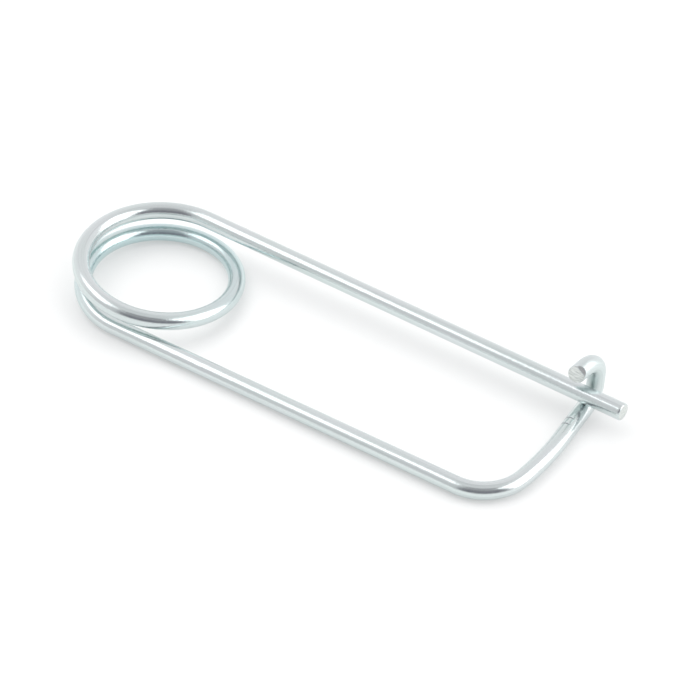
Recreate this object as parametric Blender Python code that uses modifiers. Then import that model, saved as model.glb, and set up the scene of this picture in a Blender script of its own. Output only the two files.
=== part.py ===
"""Hitch pin lock: a coiled tension safety pin bent from one length of 3.2 mm spring wire.

A sprung coil of one and a half turns joins two parallel legs. The frame leg lies on the floor, turns the
corner into a cross bar, and the bar rises behind the pin leg and curls over it as a keeper hook. The coil
presses the pin leg outward against the hook. +X runs from the coil to the hook, +Y from the frame leg to
the pin leg, and +Z is up. The origin is on the floor below the middle of the whole pin. Metres throughout.
"""

import math

import bpy
from mathutils import Matrix, Vector

MM = 0.001

WIRE_R = 1.6 * MM  # half of 3.2 mm (1/8 in) wire
WIRE_SIDES = 12  # each section has a flat side down, and 3.2 mm across its flats
LEG_SIDES = 32
GAP = 0.3 * MM  # left between one section of the wire and the next, and where two wires rest together

# Coil
COIL_X, COIL_Y = -36.7 * MM, -2.0 * MM  # the middle of the coil
COIL_R = 14.3 * MM  # mean radius to the wire's centre
COIL_TAPER = 0.38 * MM  # the first quarter turn is this much wider than COIL_R, the last this much tighter
PITCH = 4.8 * MM
COIL_START, COIL_END = 90.0, 630.0  # degrees: back of the coil, then one and a half turns down to its front
LEAN_BACK, LEAN_RIGHT = 4.9, 3.8  # degrees by which the coil's axis leaves the vertical
SETTLE = 2.7 * MM  # how strongly the last quarter turn flattens out on to the floor

# Pin leg
CROSS_X, CROSS_Y = 43.8 * MM, 11.9 * MM  # where the leg's centre passes over the cross bar
PIN_REACH = 52.8 * MM  # x of the cut end
END_ROUND = 0.25 * MM  # tumbled edge of a cut end

# Frame
FRAME_LENGTH = 72.2 * MM
CORNER_R, CORNER_TURN = 9.0 * MM, 81.0
BAR_R, BAR_TURN = 60.0 * MM, 11.6  # the slight bow of the cross bar
BAR_LENGTH = 8.5 * MM
RISE_R, RISE_TURN, RISE_LENGTH = 3.3 * MM, 85.0, 2.0 * MM
CROOK_R, CROOK_TURN, CROOK_HEADING = 3.2 * MM, 100.6, 258.4
LIP_LENGTH = 2.4 * MM


# Coil centre line: a tapering helix about a leaning axis, dropped so that the frame leg's end of it lies on
# the floor.
def lean(angle):
    turn = math.radians(angle)
    radius = COIL_R - COIL_TAPER * (angle - 360.0) / 270.0
    point = Vector((radius * math.cos(turn), radius * math.sin(turn), -PITCH * (angle - 360.0) / 360.0))
    tilt = Matrix.Rotation(math.radians(LEAN_RIGHT), 3, "Y") @ Matrix.Rotation(-math.radians(LEAN_BACK), 3, "X")
    return tilt @ point


COIL_CENTRE = Vector((COIL_X, COIL_Y, WIRE_R - lean(COIL_END).z))


def coil_point(angle):
    last = max(0.0, (angle - 540.0) / 90.0)
    return COIL_CENTRE + lean(angle) + Vector((0.0, 0.0, SETTLE * (last**3 - last**2)))


def coil_points(first, last):
    """Centre line between two angles, short of each by half a gap."""
    trim = math.degrees(GAP / 2.0 / COIL_R)
    steps = round((last - first) / 5.0)
    return [coil_point(first + trim + (last - first - 2.0 * trim) * i / steps) for i in range(steps + 1)]


# Wire former: a position and a heading that go forward or round a bend, returning the centre line they draw.
class Former:
    def __init__(self, place, heading):
        self.place, self.heading = place.copy(), heading.normalized()

    def straight(self, length, count=1):
        start = self.place.copy()
        self.place = start + self.heading * length
        return [start + self.heading * length * i / count for i in range(count + 1)]

    def bend(self, axis, radius, degrees, count):
        toward = axis.cross(self.heading).normalized()
        centre = self.place + toward * radius
        turns = [Matrix.Rotation(math.radians(degrees) * i / count, 3, axis) for i in range(count + 1)]
        points = [centre + turn @ (self.place - centre) for turn in turns]
        self.place, self.heading = points[-1], turns[-1] @ self.heading
        return points


def joined(*runs):
    points = list(runs[0])
    for run in runs[1:]:
        points += run[1:]
    return points


# Scene and materials
for old in list(bpy.data.objects):
    bpy.data.objects.remove(old)
product = bpy.data.collections.new("hitch_pin_lock")
bpy.context.scene.collection.children.link(product)


def zinc(name, shade, roughness):
    material = bpy.data.materials.new(name)
    material.use_nodes = True
    shader = material.node_tree.nodes["Principled BSDF"]
    shader.inputs["Base Color"].default_value = (shade, shade * 1.02, shade * 1.03, 1.0)
    shader.inputs["Metallic"].default_value = 1.0
    shader.inputs["Roughness"].default_value = roughness
    material.diffuse_color = (shade, shade * 1.02, shade * 1.03, 1.0)
    return material


def place(shape, material, pivot):
    """Links the object and puts its origin at the pivot without moving it."""
    shape.data.materials.append(material)
    shape.data.transform(Matrix.Translation(-pivot))
    shape.location = pivot
    product.objects.link(shape)


def over_flats(radius, sides):
    """Radius of the corners of a regular outline whose flats lie at the given radius."""
    return radius / math.cos(math.pi / sides)


def wire(name, points, shade, roughness=0.3, pivot=Vector((0.0, 0.0, 0.0))):
    curve = bpy.data.curves.new(name, "CURVE")
    curve.dimensions = "3D"
    curve.twist_mode = "Z_UP"
    curve.bevel_depth = over_flats(WIRE_R, WIRE_SIDES)
    curve.bevel_resolution = WIRE_SIDES // 2 - 2
    curve.use_fill_caps = True
    spline = curve.splines.new("POLY")
    spline.points.add(len(points) - 1)
    for spot, point in zip(spline.points, points):
        spot.co = (*point, 1.0)
        spot.tilt = math.pi / WIRE_SIDES
    shape = bpy.data.objects.new(name, curve)
    place(shape, zinc(name + "_zinc", shade, roughness), pivot)
    return shape


# Frame leg, corner, cross bar and keeper hook, bent in the order that the wire runs. The wire goes forward by
# one gap between sections.
former = Former(coil_point(COIL_END), Vector((1.0, 0.0, 0.0)))
UP = Vector((0.0, 0.0, 1.0))
former.straight(GAP / 2.0)
wire("frame_leg", former.straight(FRAME_LENGTH, 12), 0.80)

former.straight(GAP)
wire("corner_bend", former.bend(UP, CORNER_R, CORNER_TURN, 20), 0.78)

former.straight(GAP)
wire("cross_bar", joined(former.bend(UP, BAR_R, BAR_TURN, 6), former.straight(BAR_LENGTH, 3)), 0.80)

former.straight(GAP)
rise_axis = former.heading.cross(UP)
wire(
    "keeper_riser",
    joined(former.bend(rise_axis, RISE_R, RISE_TURN, 14), former.straight(RISE_LENGTH)),
    0.76,
)

former.straight(GAP)
over = Vector((math.cos(math.radians(CROOK_HEADING)), math.sin(math.radians(CROOK_HEADING)), 0.0))
crook_axis = former.heading.cross(over).normalized()
wire("keeper_crook", former.bend(crook_axis, CROOK_R, CROOK_TURN, 18), 0.76)

former.straight(GAP)
wire("keeper_lip", former.straight(LIP_LENGTH - GAP), 0.72, 0.4)

# Coil, in half turns from the pin leg down to the frame leg. The upper two turn about the coil's own axis.
wire("coil_upper", coil_points(COIL_START, 270.0), 0.79, pivot=COIL_CENTRE)
wire("coil_middle", coil_points(270.0, 450.0), 0.77, pivot=COIL_CENTRE)
wire("coil_lower", coil_points(450.0, COIL_END), 0.79)

# Pin leg: straight wire from the coil's back to beyond the hook, lying on the cross bar. Its origin is where
# it leaves the coil, which is where it bends when it is pressed in and lifted out of the hook.
root = coil_point(COIL_START)
aim = (Vector((CROSS_X, CROSS_Y, 3.0 * WIRE_R + GAP)) - root).normalized()
start = root + aim * GAP / 2.0
length = (PIN_REACH - start.x) / aim.x
bpy.ops.mesh.primitive_cylinder_add(vertices=LEG_SIDES, radius=over_flats(WIRE_R, LEG_SIDES), depth=length)
leg = bpy.context.object
leg.name = "pin_leg"
leg.data.transform(Matrix.Translation((0.0, 0.0, length / 2.0)))
far_ring = [v.index for v in leg.data.vertices if v.co.z > length / 2.0]
cut_edge = leg.vertex_groups.new(name="cut_edge")
cut_edge.add(far_ring, 1.0, "REPLACE")
rounding = leg.modifiers.new("tumbled end", "BEVEL")
rounding.width = END_ROUND
rounding.segments = 3
rounding.limit_method = "VGROUP"
rounding.vertex_group = "cut_edge"
leg.data.transform(Matrix.Translation(start) @ aim.to_track_quat("Z", "Y").to_matrix().to_4x4())
for holder in list(leg.users_collection):
    holder.objects.unlink(leg)
place(leg, zinc("pin_leg_zinc", 0.82, 0.28), root)
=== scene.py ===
"""Hitch pin lock, a coiled tension safety pin: one zinc-plated spring wire, lying on a pale floor."""

import math

import bpy
from mathutils import Matrix, Vector


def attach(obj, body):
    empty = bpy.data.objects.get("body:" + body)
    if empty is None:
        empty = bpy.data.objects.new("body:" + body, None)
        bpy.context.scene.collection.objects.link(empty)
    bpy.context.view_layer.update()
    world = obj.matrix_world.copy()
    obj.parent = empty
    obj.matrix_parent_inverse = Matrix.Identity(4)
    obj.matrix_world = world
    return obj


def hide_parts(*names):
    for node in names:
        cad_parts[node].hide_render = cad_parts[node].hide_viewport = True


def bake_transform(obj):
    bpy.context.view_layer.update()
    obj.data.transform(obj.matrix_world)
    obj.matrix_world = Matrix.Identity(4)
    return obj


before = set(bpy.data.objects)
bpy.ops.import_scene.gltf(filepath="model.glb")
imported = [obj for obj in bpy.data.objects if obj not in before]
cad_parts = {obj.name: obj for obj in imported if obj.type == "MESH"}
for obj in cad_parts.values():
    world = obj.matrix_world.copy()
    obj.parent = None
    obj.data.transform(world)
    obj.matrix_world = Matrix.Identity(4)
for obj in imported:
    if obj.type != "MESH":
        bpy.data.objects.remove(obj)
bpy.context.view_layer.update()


# The bend line. The whole pin is one length of 3.2 mm hard-drawn spring wire, and this is the line that the
# middle of the wire takes through the wire former: down the pin leg, one and a half turns round the coil,
# then along the frame and over into the keeper hook. It starts at the sheared end of the pin leg.
WIRE_R = 0.0016
COIL_X, COIL_Y = -0.0367, -0.0020
COIL_R, COIL_TAPER, PITCH = 0.0143, 0.00038, 0.0048
LEAN_BACK, LEAN_RIGHT, SETTLE = math.radians(4.9), math.radians(3.8), 0.0027
PIN_REACH = 0.0528
POINT_EVERY = 0.0001  # length of a bend between two points of the line
UP = Vector((0.0, 0.0, 1.0))


def lean(angle):
    """The coil's wire at this angle, about the coil's middle, leaning back and to the right."""
    turn = math.radians(angle)
    radius = COIL_R - COIL_TAPER * (angle - 360.0) / 270.0
    point = Vector((radius * math.cos(turn), radius * math.sin(turn), -PITCH * (angle - 360.0) / 360.0))
    return Matrix.Rotation(LEAN_RIGHT, 3, "Y") @ Matrix.Rotation(-LEAN_BACK, 3, "X") @ point


def coil_point(angle):
    """The same wire in its place. Its last quarter turn settles gently on to the floor."""
    last = max(0.0, (angle - 540.0) / 90.0)
    middle = Vector((COIL_X, COIL_Y, WIRE_R - lean(630.0).z))
    return middle + lean(angle) + UP * SETTLE * (last**3 - last**2)


class Former:
    """The head of the wire former: it feeds wire forward or winds it round a bending pin."""

    def __init__(self, points, heading):
        self.points, self.heading = points, heading.normalized()

    def feed(self, length, steps=8):
        start = self.points[-1]
        self.points += [start + self.heading * length * i / steps for i in range(1, steps + 1)]

    def bend(self, axis, radius, degrees):
        centre = self.points[-1] + axis.cross(self.heading).normalized() * radius
        arm = self.points[-1] - centre
        steps = max(12, round(math.radians(degrees) * radius / POINT_EVERY))
        for i in range(1, steps + 1):
            turn = Matrix.Rotation(math.radians(degrees) * i / steps, 3, axis)
            self.points.append(centre + turn @ arm)
        self.heading = turn @ self.heading

    def fed(self, point=None):
        """Length of wire fed so far, or up to a point of the line."""
        line = self.points[:point]
        return sum((b - a).length for a, b in zip(line, line[1:]))


root = coil_point(90.0)
crossing = Vector((0.0438, 0.0119, 3.0 * WIRE_R + 0.0002))
leg_run = (crossing - root).normalized()
leg_tip = root + leg_run * (PIN_REACH - root.x) / leg_run.x
former = Former([leg_tip], -leg_run)
former.feed((root - leg_tip).length, 60)
former.points += [coil_point(90.0 + 0.5 * i) for i in range(1, 1081)]
COIL_180, COIL_360, COIL_540 = former.fed(241), former.fed(601), former.fed(961)
former.heading = Vector((1.0, 0.0, 0.0))
former.feed(0.07265, 60)  # the frame leg
former.bend(UP, 0.0090, 81.0)  # the corner
former.feed(0.0003)
former.bend(UP, 0.0600, 11.6)  # the cross bar, slightly bowed at first
former.feed(0.0088)
former.bend(former.heading.cross(UP), 0.0033, 85.0)  # the riser
former.feed(0.0023)
over = Vector((math.cos(math.radians(258.4)), math.sin(math.radians(258.4)), 0.0))
former.bend(former.heading.cross(over).normalized(), 0.0032, 100.6)  # the crook, over the pin leg
former.feed(0.0024)  # the lip
WIRE_LENGTH = former.fed()

bend_line = bpy.data.curves.new("bend_line", "CURVE")
bend_line.dimensions = "3D"
bend_line.twist_mode = "MINIMUM"
spline = bend_line.splines.new("POLY")
spline.points.add(len(former.points) - 1)
for spot, point in zip(spline.points, former.points):
    spot.co = (*point, 1.0)
bend_track = bpy.data.objects.new("bend_line", bend_line)
bpy.context.scene.collection.objects.link(bend_track)


# Zinc plate. The bent pin is tumbled, zinc plated in a barrel and dipped in clear passivate. The die's long
# lines still show through the plating and its crystals give it a faint grain. The lower turns of the coil
# are tinted blue-green against a greener grey along the legs: partly the passivate's own colour, partly
# painted reflection of the turns in one another.
COIL_TINT_AND_REFLECTION_STARTS, COIL_TINT_AND_REFLECTION_ENDS = (0.135, 0.180), (0.224, 0.202)  # lengths along the wire, each from none to full
SCUFF_STARTS = (0.331, 0.337)
COLLAR_MARKS = (0.3240, 0.3256)
COLLAR_SIDE = (0.83, 0.56, 0.0)  # the side of the wire that the collar presses, as cosine and sine of U


def reckoned(nodes, links, operation, *terms):
    """The value that a Math node gives for its terms, each a number or a socket."""
    reckoner = nodes.new("ShaderNodeMath")
    reckoner.operation = operation
    for entry, term in zip(reckoner.inputs, terms):
        if isinstance(term, float):
            entry.default_value = term
        else:
            links.new(term, entry)
    return reckoner.outputs["Value"]


def faded(nodes, links, value, none, full):
    """0 where the value is at none, 1 where it is at full, and a soft change between."""
    fade = nodes.new("ShaderNodeMapRange")
    fade.interpolation_type = "SMOOTHSTEP"
    fade.inputs["From Min"].default_value = none
    fade.inputs["From Max"].default_value = full
    links.new(value, fade.inputs["Value"])
    return fade.outputs["Result"]


def ranged(nodes, links, value, low, high, first, last):
    """The value, taken from low..high to first..last."""
    spread = nodes.new("ShaderNodeMapRange")
    for name, number in (("From Min", low), ("From Max", high), ("To Min", first), ("To Max", last)):
        spread.inputs[name].default_value = number
    links.new(value, spread.inputs["Value"])
    return spread.outputs["Result"]


def mixed(nodes, links, first, second, mask):
    """A colour that goes from first to second as mask goes from 0 to 1. Each is a colour or a socket."""
    mix = nodes.new("ShaderNodeMix")
    mix.data_type = "RGBA"
    for name, given in (("A", first), ("B", second)):
        slot = next(s for s in mix.inputs if s.name == name and s.type == "RGBA")
        if isinstance(given, tuple):
            slot.default_value = (*given, 1.0)
        else:
            links.new(given, slot)
    links.new(mask, mix.inputs["Factor"])
    return next(s for s in mix.outputs if s.type == "RGBA")


def wire_marks():
    """Marks along and round the wire. Its Wire input is the wire's UV: U once round, V metres along."""
    group = bpy.data.node_groups.new("wire marks", "ShaderNodeTree")
    group.interface.new_socket("Wire", in_out="INPUT", socket_type="NodeSocketVector")
    for name in ("Die Lines", "Grain", "Drift", "Coil Tint And Reflection", "Nick And Shade", "Scuffed"):
        group.interface.new_socket(name, in_out="OUTPUT", socket_type="NodeSocketFloat")
    nodes, links = group.nodes, group.links
    entry, leave = nodes.new("NodeGroupInput"), nodes.new("NodeGroupOutput")
    apart = nodes.new("ShaderNodeSeparateXYZ")
    links.new(entry.outputs["Wire"], apart.inputs["Vector"])
    along = apart.outputs["Y"]
    turned = reckoned(nodes, links, "MULTIPLY", apart.outputs["X"], math.tau)
    around = nodes.new("ShaderNodeCombineXYZ")
    links.new(reckoned(nodes, links, "COSINE", turned), around.inputs["X"])
    links.new(reckoned(nodes, links, "SINE", turned), around.inputs["Y"])
    links.new(along, around.inputs["Z"])
    for name, scale, detail in (
        ("Die Lines", (9.0, 9.0, 45.0), 6.0),
        ("Grain", (4.5, 4.5, 2600.0), 4.0),
        ("Drift", (0.7, 0.7, 70.0), 2.0),
    ):
        laid = nodes.new("ShaderNodeMapping")
        laid.inputs["Scale"].default_value = scale
        links.new(around.outputs["Vector"], laid.inputs["Vector"])
        noise = nodes.new("ShaderNodeTexNoise")
        noise.inputs["Scale"].default_value = 1.0
        noise.inputs["Detail"].default_value = detail
        noise.inputs["Roughness"].default_value = 0.6
        links.new(laid.outputs["Vector"], noise.inputs["Vector"])
        links.new(noise.outputs["Fac"], leave.inputs[name])
    # The lower turns' tint: partly the passivate's own blue-green, partly painted reflection of the turns in
    # one another.
    starts = faded(nodes, links, along, *COIL_TINT_AND_REFLECTION_STARTS)
    ends = faded(nodes, links, along, *COIL_TINT_AND_REFLECTION_ENDS)
    links.new(reckoned(nodes, links, "MULTIPLY", starts, ends), leave.inputs["Coil Tint And Reflection"])
    # The hook is formed last, over a hardened pin that scuffs its plating dull.
    links.new(faded(nodes, links, along, *SCUFF_STARTS), leave.inputs["Scuffed"])
    # The bending pin's collar bit twice into the cross bar, just before the wire rises. The bites are dents,
    # and their darker colour is painted shade in them.
    bites = []
    for mark in COLLAR_MARKS:
        off = reckoned(nodes, links, "ABSOLUTE", reckoned(nodes, links, "SUBTRACT", along, mark))
        bites.append(faded(nodes, links, off, 0.00022, 0.00005))
    facing = nodes.new("ShaderNodeVectorMath")
    facing.operation = "DOT_PRODUCT"
    facing.inputs[1].default_value = COLLAR_SIDE
    links.new(around.outputs["Vector"], facing.inputs[0])
    pressed = faded(nodes, links, facing.outputs["Value"], 0.55, 0.9)
    both_bites_and_shade = reckoned(nodes, links, "ADD", *bites)
    links.new(reckoned(nodes, links, "MULTIPLY", both_bites_and_shade, pressed), leave.inputs["Nick And Shade"])
    return group


def bumped(nodes, links, height, depth, under=None, inward=False):
    """The surface's normal, with marks of this depth laid over those of the normal under them."""
    bump = nodes.new("ShaderNodeBump")
    bump.invert = inward
    bump.inputs["Strength"].default_value = 1.0
    bump.inputs["Distance"].default_value = depth
    links.new(height, bump.inputs["Height"])
    if under:
        links.new(under, bump.inputs["Normal"])
    return bump.outputs["Normal"]


zinc = bpy.data.materials.new("zinc_plate")
zinc.use_nodes = True
nodes, links = zinc.node_tree.nodes, zinc.node_tree.links
shader = nodes["Principled BSDF"]
shader.inputs["Metallic"].default_value = 1.0
wire_map = nodes.new("ShaderNodeUVMap")
drawn = nodes.new("ShaderNodeGroup")
drawn.node_tree = wire_marks()
links.new(wire_map.outputs["UV"], drawn.inputs["Wire"])
leg_tint = mixed(
    nodes, links, (0.672, 0.745, 0.735), (0.700, 0.748, 0.755),
    ranged(nodes, links, drawn.outputs["Drift"], 0.35, 0.65, 0.0, 1.0),
)
# The lower turns' colour: partly the passivate's own blue-green, partly painted reflection of the turns in
# one another.
coil_tint_and_reflection = mixed(
    nodes, links, (0.590, 0.735, 0.745), (0.650, 0.745, 0.742),
    ranged(nodes, links, drawn.outputs["Drift"], 0.4, 0.7, 0.0, 1.0),
)
plate = mixed(nodes, links, leg_tint, coil_tint_and_reflection, drawn.outputs["Coil Tint And Reflection"])
lines = ranged(nodes, links, drawn.outputs["Die Lines"], 0.50, 0.72, 0.0, 0.60)
worn = mixed(nodes, links, plate, (0.52, 0.56, 0.57), lines)
# The dark grey in the collar's bites is painted shade in the dents.
links.new(mixed(nodes, links, worn, (0.36, 0.39, 0.41), drawn.outputs["Nick And Shade"]), shader.inputs["Base Color"])
plain_finish = ranged(nodes, links, drawn.outputs["Grain"], 0.3, 0.7, 0.13, 0.23)
scuff = ranged(nodes, links, drawn.outputs["Scuffed"], 0.0, 1.0, 0.0, 0.22)
links.new(reckoned(nodes, links, "ADD", plain_finish, scuff), shader.inputs["Roughness"])
grained = bumped(nodes, links, drawn.outputs["Grain"], 0.000016)
scored = bumped(nodes, links, drawn.outputs["Die Lines"], 0.000008, under=grained)
bitten = bumped(nodes, links, drawn.outputs["Nick And Shade"], 0.00012, under=scored, inward=True)
links.new(bitten, shader.inputs["Normal"])


# Sheared ends. The wire is cropped between two blades, which drag fine score lines across the cut before it
# snaps, and the plating lies duller on that torn face than on the drawn wire.
sheared = bpy.data.materials.new("cut_end")
sheared.use_nodes = True
nodes, links = sheared.node_tree.nodes, sheared.node_tree.links
shader = nodes["Principled BSDF"]
shader.inputs["Metallic"].default_value = 1.0
place = nodes.new("ShaderNodeTexCoord")
laid = nodes.new("ShaderNodeMapping")
laid.inputs["Rotation"].default_value = (0.0, math.radians(35.0), math.radians(20.0))
laid.inputs["Scale"].default_value = (900.0, 6500.0, 6500.0)
links.new(place.outputs["Object"], laid.inputs["Vector"])
score = nodes.new("ShaderNodeTexNoise")
score.inputs["Scale"].default_value = 1.0
score.inputs["Detail"].default_value = 5.0
links.new(laid.outputs["Vector"], score.inputs["Vector"])
links.new(
    mixed(
        nodes, links, (0.55, 0.585, 0.565), (0.83, 0.86, 0.84),
        ranged(nodes, links, score.outputs["Fac"], 0.38, 0.62, 0.0, 1.0),
    ),
    shader.inputs["Base Color"],
)
links.new(ranged(nodes, links, score.outputs["Fac"], 0.3, 0.7, 0.5, 0.34), shader.inputs["Roughness"])
links.new(bumped(nodes, links, score.outputs["Fac"], 0.00002), shader.inputs["Normal"])


# Pin leg. The straight leg that goes through the hole, with the first quarter turn of the coil that it grows
# out of. It is cut from straight wire, which lies along X here until it is bent, and its end is sheared
# nearly square and tumbled, which leaves the rim rounded.
SIDES = 48
RING = 0.0004
CROP = 0.001  # extra wire that the shear takes off an end


def pick(piece, wanted, kind="VERT"):
    """Selects the vertices, edges or faces whose middle is where wanted says, and stays in edit mode."""
    bpy.ops.object.mode_set(mode="EDIT")
    bpy.ops.mesh.select_mode(type=kind)
    bpy.ops.mesh.select_all(action="DESELECT")
    bpy.ops.object.mode_set(mode="OBJECT")
    mesh = piece.data
    for item in {"VERT": mesh.vertices, "EDGE": mesh.edges, "FACE": mesh.polygons}[kind]:
        corners = [mesh.vertices[i].co for i in ([item.index] if kind == "VERT" else item.vertices)]
        item.select = bool(wanted(sum(corners, Vector()) / len(corners), corners))
    bpy.ops.object.mode_set(mode="EDIT")


def straight_wire(name, first, last):
    """Straight wire between two lengths of the bend line."""
    bpy.ops.object.select_all(action="DESELECT")
    bpy.ops.mesh.primitive_cylinder_add(
        vertices=SIDES, radius=WIRE_R, depth=last - first, location=((first + last) / 2.0, 0.0, 0.0),
        rotation=(0.0, math.pi / 2.0, 0.0),
    )
    piece = bpy.context.object
    piece.name = piece.data.name = name
    bpy.ops.object.transform_apply(location=True, rotation=True, scale=True)
    piece.data.materials.append(zinc)
    piece.data.materials.append(sheared)
    return piece


def shear(piece, point, normal):
    """Cuts the end off at a point, square to a direction that points out of the end."""
    pick(piece, lambda middle, corners: True, "FACE")
    bpy.ops.mesh.bisect(plane_co=point, plane_no=normal, use_fill=True, clear_outer=True)
    bpy.ops.object.mode_set(mode="OBJECT")


def ring_cuts(piece, first, last):
    """Cuts the long faces into rings, so that the wire can bend."""
    mesh = piece.data
    rings = math.ceil((last - first) / RING)
    outer = math.ceil(math.sqrt(rings))
    for cuts in (outer, math.ceil(rings / outer)):
        ends = [[mesh.vertices[i].co for i in edge.vertices] for edge in mesh.edges]
        longest = max((one - other).length for one, other in ends)
        pick(piece, lambda middle, corners: (corners[0] - corners[1]).length > 0.8 * longest, "EDGE")
        bpy.ops.mesh.subdivide(number_cuts=cuts - 1)
        bpy.ops.object.mode_set(mode="OBJECT")


def unwrap(piece):
    """U goes once round the wire and V is the length along it in metres."""
    mesh = piece.data
    layer = mesh.uv_layers.active.data
    for face in mesh.polygons:
        corners = [mesh.vertices[i].co for i in face.vertices]
        turns = [math.atan2(corner.z, corner.y) / math.tau % 1.0 for corner in corners]
        if max(turns) - min(turns) > 0.5:
            turns = [turn + 1.0 if turn < 0.5 else turn for turn in turns]
        for loop, turn, corner in zip(face.loop_indices, turns, corners):
            layer[loop].uv = (turn, corner.x)


def bend(piece):
    """Runs the straight piece through the former."""
    bpy.ops.object.select_all(action="DESELECT")
    piece.select_set(True)
    bpy.context.view_layer.objects.active = piece
    bending = piece.modifiers.new("bend", "CURVE")
    bending.object = bend_track
    bending.deform_axis = "POS_X"
    bpy.ops.object.modifier_apply(modifier=bending.name)
    bpy.ops.object.shade_smooth_by_angle(angle=math.radians(40.0))


TIP_END = 0.001  # until the ring cuts, only the sheared end has faces or edges before this length
TUMBLED_RIM = 0.00026
pin_leg = straight_wire("pin_leg_wire", -CROP, COIL_180)
shear(pin_leg, (0.00013, 0.0, 0.0), (-1.0, 0.052, 0.058))  # three degrees off square each way
pick(pin_leg, lambda middle, corners: max(corner.x for corner in corners) < TIP_END, "EDGE")
bpy.ops.mesh.bevel(offset=TUMBLED_RIM, segments=4, affect="EDGES")
bpy.ops.object.mode_set(mode="OBJECT")
for face in pin_leg.data.polygons:
    face.material_index = 1 if len(face.vertices) > 4 and face.center.x < TIP_END else 0
ring_cuts(pin_leg, 0.0, COIL_180)
unwrap(pin_leg)
bend(pin_leg)
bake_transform(pin_leg)
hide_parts("pin_leg")


# Coil. One and a half turns wound on an arbor, which give the pin its spring. Half a turn belongs to each
# piece here, so that the coil winds a little tighter as the pin leg is pressed in.
def half_turn(name, first, last):
    """Half a turn of the coil between two lengths of wire, bent."""
    piece = straight_wire(name, first, last)
    ring_cuts(piece, first, last)
    unwrap(piece)
    bend(piece)
    return piece


coil_upper = half_turn("coil_upper_turn", COIL_180, COIL_360)
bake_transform(coil_upper)
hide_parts("coil_upper")

coil_lower = half_turn("coil_lower_turn", COIL_360, COIL_540)
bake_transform(coil_lower)
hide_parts("coil_middle")


# Frame and keeper hook. The rest of the wire: the last quarter turn of the coil flattens out on to the floor
# and runs on as the frame leg, the corner, the cross bar under the pin leg, and the hook that curls back
# over the pin leg. The hook's end is sheared at a slant, with a narrow second facet along its top.
LIP_END = WIRE_LENGTH - 0.005  # until the ring cuts, only the sheared end has faces or edges beyond this
CRISP_RIM = 0.00007
SLANT_Y, SLANT_Z = -0.94, -0.34  # both cuts slant to the same side of the wire
frame_wire = straight_wire("frame_wire", COIL_540, WIRE_LENGTH + CROP)
for tilt, point in (
    (math.radians(22.0), (WIRE_LENGTH - 0.0003, 0.0, 0.0)),
    (math.radians(43.0), (WIRE_LENGTH - 0.00069, -0.00088, -0.00032)),
):
    shear(frame_wire, point, (math.cos(tilt), SLANT_Y * math.sin(tilt), SLANT_Z * math.sin(tilt)))
pick(frame_wire, lambda middle, corners: min(corner.x for corner in corners) > LIP_END, "EDGE")
bpy.ops.mesh.bevel(offset=CRISP_RIM, segments=2, affect="EDGES")
bpy.ops.object.mode_set(mode="OBJECT")
for face in frame_wire.data.polygons:
    face.material_index = 1 if len(face.vertices) > 4 and face.center.x > LIP_END else 0
ring_cuts(frame_wire, COIL_540, WIRE_LENGTH)
unwrap(frame_wire)
bend(frame_wire)
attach(frame_wire, "frame")
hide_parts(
    "coil_lower", "frame_leg", "corner_bend", "cross_bar", "keeper_riser", "keeper_crook",
    "keeper_lip",
)
bpy.data.objects.remove(bend_track)


# Floor. A sheet of matt white acrylic, lit from above and glowing a little by itself, as if from a lamp
# below it, which keeps the shadows faint.
bpy.ops.object.select_all(action="DESELECT")
bpy.ops.mesh.primitive_plane_add(size=8.0, location=(0.0, 0.0, 0.0))
floor = bpy.context.object
floor.name = "floor"
acrylic = bpy.data.materials.new("white_acrylic")
acrylic.use_nodes = True
shader = acrylic.node_tree.nodes["Principled BSDF"]
shader.inputs["Base Color"].default_value = (0.53, 0.54, 0.535, 1.0)
shader.inputs["Emission Color"].default_value = (1.0, 1.0, 1.0, 1.0)
shader.inputs["Emission Strength"].default_value = 0.36
shader.inputs["Roughness"].default_value = 0.8
shader.inputs["Specular IOR Level"].default_value = 0.2
floor.data.materials.append(acrylic)


# Studio. A pale room that is dimmer overhead and on the camera's side, a soft box on each side of the
# camera, and a light high behind the pin that lifts the floor. The soft boxes draw the white streaks on the
# wire, and the gap between them the dark bands where the wire runs across the view.
CAMERA_SIDE = 303.25  # heading of the camera from the pin, in degrees
world = bpy.data.worlds.new("studio")
bpy.context.scene.world = world
world.use_nodes = True
nodes, links = world.node_tree.nodes, world.node_tree.links
surround = nodes["Background"]
seen = nodes.new("ShaderNodeTexCoord")
height = nodes.new("ShaderNodeSeparateXYZ")
links.new(seen.outputs["Generated"], height.inputs["Vector"])
level = nodes.new("ShaderNodeVectorMath")
level.operation = "MULTIPLY"
level.inputs[1].default_value = (1.0, 1.0, 0.0)
links.new(seen.outputs["Generated"], level.inputs[0])
heading = nodes.new("ShaderNodeVectorMath")
heading.operation = "NORMALIZE"
links.new(level.outputs["Vector"], heading.inputs[0])
toward = nodes.new("ShaderNodeVectorMath")
toward.operation = "DOT_PRODUCT"
toward.inputs[1].default_value = (
    math.cos(math.radians(CAMERA_SIDE)), math.sin(math.radians(CAMERA_SIDE)), 0.0
)
links.new(heading.outputs["Vector"], toward.inputs[0])


def sine(degrees):
    return math.sin(math.radians(degrees))


def between_heights(none, full):
    """0 in the directions at one height in degrees, 1 at the other."""
    return faded(nodes, links, height.outputs["Z"], sine(none), sine(full))


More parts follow.
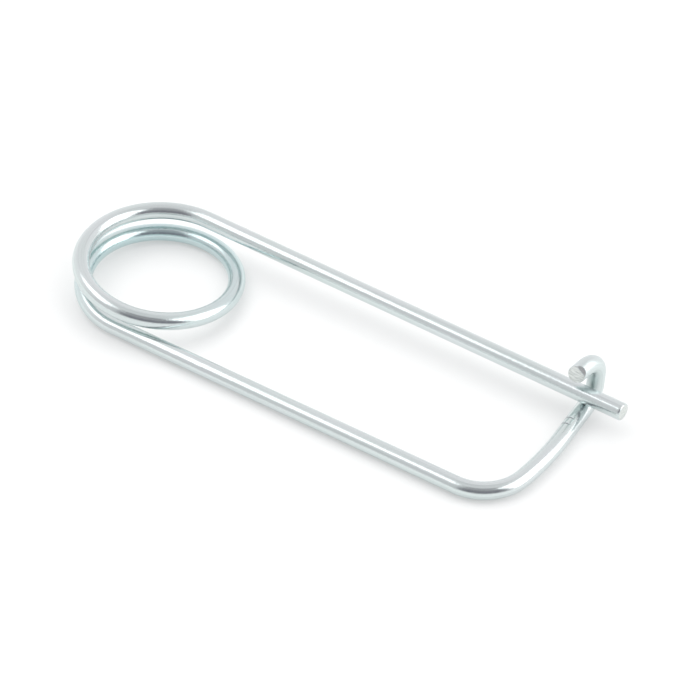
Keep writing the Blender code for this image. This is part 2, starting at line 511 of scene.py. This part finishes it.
walls = mixed(nodes, links, (1.06, 1.04, 1.05), (0.96, 0.935, 0.95), between_heights(-5.0, 45.0))
near_side = faded(nodes, links, toward.outputs["Value"], -0.35, 0.45)
beside = mixed(nodes, links, walls, (0.76, 0.75, 0.765), near_side)
room = mixed(nodes, links, beside, (0.80, 0.785, 0.80), between_heights(50.0, 80.0))
facing_camera = faded(
    nodes, links, toward.outputs["Value"], math.cos(math.radians(48.0)), math.cos(math.radians(35.0))
)
upright = reckoned(nodes, links, "MULTIPLY", between_heights(4.0, 16.0), between_heights(84.0, 64.0))
gap = reckoned(nodes, links, "MULTIPLY", facing_camera, upright)
dark = mixed(nodes, links, (0.25, 0.24, 0.27), (0.44, 0.43, 0.45), between_heights(25.0, 62.0))
links.new(mixed(nodes, links, room, dark, gap), surround.inputs["Color"])


def soft_box(name, heading, height, distance, width, tall, radiance, in_reflections=True):
    """A lamp that faces the pin from a heading and a height in degrees."""
    turn, rise = math.radians(heading), math.radians(height)
    way = Vector((math.cos(turn) * math.cos(rise), math.sin(turn) * math.cos(rise), math.sin(rise)))
    bpy.ops.object.light_add(type="AREA", location=way * distance)
    lamp = bpy.context.object
    lamp.name = name
    lamp.data.shape = "RECTANGLE"
    lamp.data.size, lamp.data.size_y = width, tall
    lamp.data.energy = radiance * math.pi * width * tall
    lamp.rotation_mode = "QUATERNION"
    lamp.rotation_quaternion = way.to_track_quat("Z", "Y")
    lamp.visible_glossy = in_reflections


soft_box(
    "soft_box_right", heading=CAMERA_SIDE + 75.0, height=32.0, distance=1.2,
    width=1.16, tall=1.42, radiance=1.30,
)
soft_box(
    "soft_box_left", heading=CAMERA_SIDE - 96.0, height=53.0, distance=1.2,
    width=0.94, tall=0.60, radiance=1.02,
)
soft_box(
    "floor_light", heading=CAMERA_SIDE - 160.0, height=64.0, distance=1.6,
    width=1.8, tall=1.8, radiance=1.3, in_reflections=False,
)


# Camera. A long lens, looking down over the corner of the frame towards the coil. It stands at the same
# heading as the gap between the soft boxes.
AZIMUTH, ELEVATION, DISTANCE = math.radians(33.25), math.radians(43.13), 0.450
back = Vector(
    (math.sin(AZIMUTH) * math.cos(ELEVATION), -math.cos(AZIMUTH) * math.cos(ELEVATION), math.sin(ELEVATION))
)
right = Vector((math.cos(AZIMUTH), math.sin(AZIMUTH), 0.0))
up = back.cross(right)
target = Vector((0.0053, -0.0020, 0.0050)) - right * 0.000123 + up * 0.000816
bpy.ops.object.camera_add(location=target + back * DISTANCE)
camera = bpy.context.object
camera.rotation_mode = "QUATERNION"
camera.rotation_quaternion = (-back).to_track_quat("-Z", "Y")
camera.data.lens = 130.68
camera.data.sensor_width = 36.0
camera.data.clip_start, camera.data.clip_end = 0.01, 20.0
bpy.context.scene.camera = camera
bpy.context.scene.view_settings.view_transform = "Standard"
